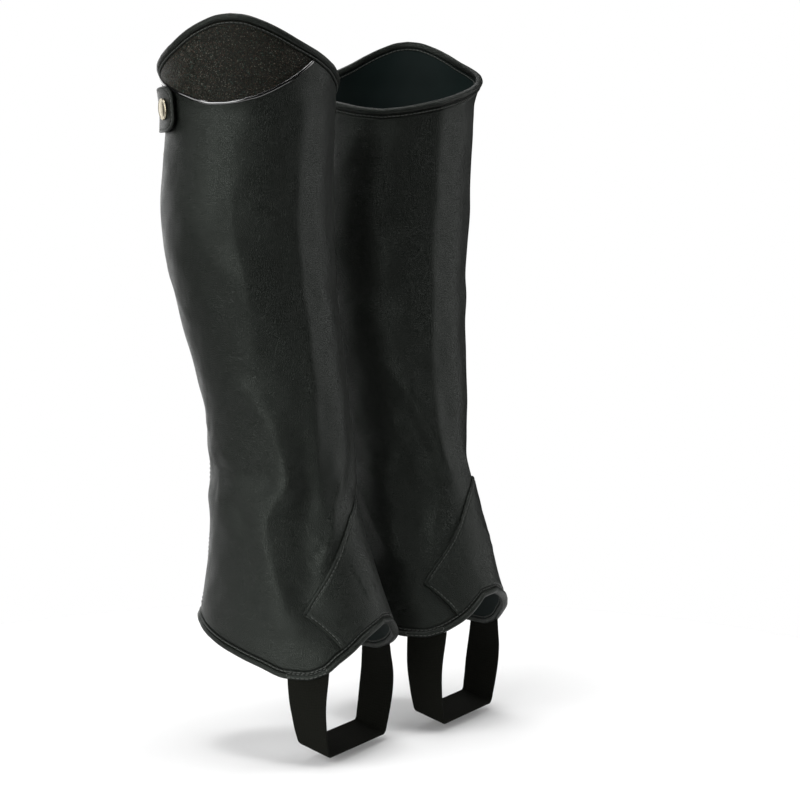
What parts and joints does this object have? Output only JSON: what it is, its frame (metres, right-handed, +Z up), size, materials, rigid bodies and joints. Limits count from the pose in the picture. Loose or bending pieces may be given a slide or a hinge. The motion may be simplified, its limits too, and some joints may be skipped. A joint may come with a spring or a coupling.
{
  "type": "pair of half chaps",
  "caption": "Black leather riding half chaps, worn form: hollow legs with flared tops, sparkling side insets, snap tabs, rear zips, ankle overlays and elastic straps under the foot.",
  "frame": {"origin": "midway between the two calves and 350 mm above the ground, where the wearer's legs hold the pair", "axes": "+Z up the legs, +X the way the toes point, +Y to the wearer's left"},
  "size_m": [0.1776, 0.2828, 0.4883],
  "materials": {
    "leather": "fine pebbled grain, satin",
    "glitter": "black fabric with small sparkling flakes",
    "patent": "glossy black",
    "lining": "smooth matt, dark teal",
    "webbing": "matt woven elastic",
    "zip_tape": "matt woven tape with moulded teeth",
    "nickel": "plated, softly polished"
  },
  "bodies": {
    "pair": {"leather_panel_right": "leather", "lining_right": "lining", "ankle_overlay_right": "leather", "side_inlay_right": "glitter", "piping_right": "patent", "top_binding_right": "leather", "hem_binding_right": "leather", "zip_right": "zip_tape", "zip_slider_right": "nickel", "snap_tab_right": "leather", "snap_cap_right": "nickel", "stirrup_strap_right": "webbing", "leather_panel_left": "leather", "lining_left": "lining", "ankle_overlay_left": "leather", "side_inlay_left": "glitter", "piping_left": "patent", "top_binding_left": "leather", "hem_binding_left": "leather", "zip_left": "zip_tape", "zip_slider_left": "nickel", "snap_tab_left": "leather", "snap_cap_left": "nickel", "stirrup_strap_left": "webbing"},
    "right_pull": {"zip_pull_right": "nickel"},
    "left_pull": {"zip_pull_left": "nickel"}
  },
  "joints": [
    {"name": "right_pull_swing", "type": "hinge", "parent": "pair", "child": "right_pull", "pos_m": [-0.06595, -0.09042, 0.05133], "axis": [-0.1736, 0.9848, 0], "range_deg": [0, 165]},
    {"name": "left_pull_swing", "type": "hinge", "parent": "pair", "child": "left_pull", "pos_m": [-0.0352, 0.0505, 0.05532], "axis": [-0.5, 0.866, 0], "range_deg": [0, 165]}
  ]
}
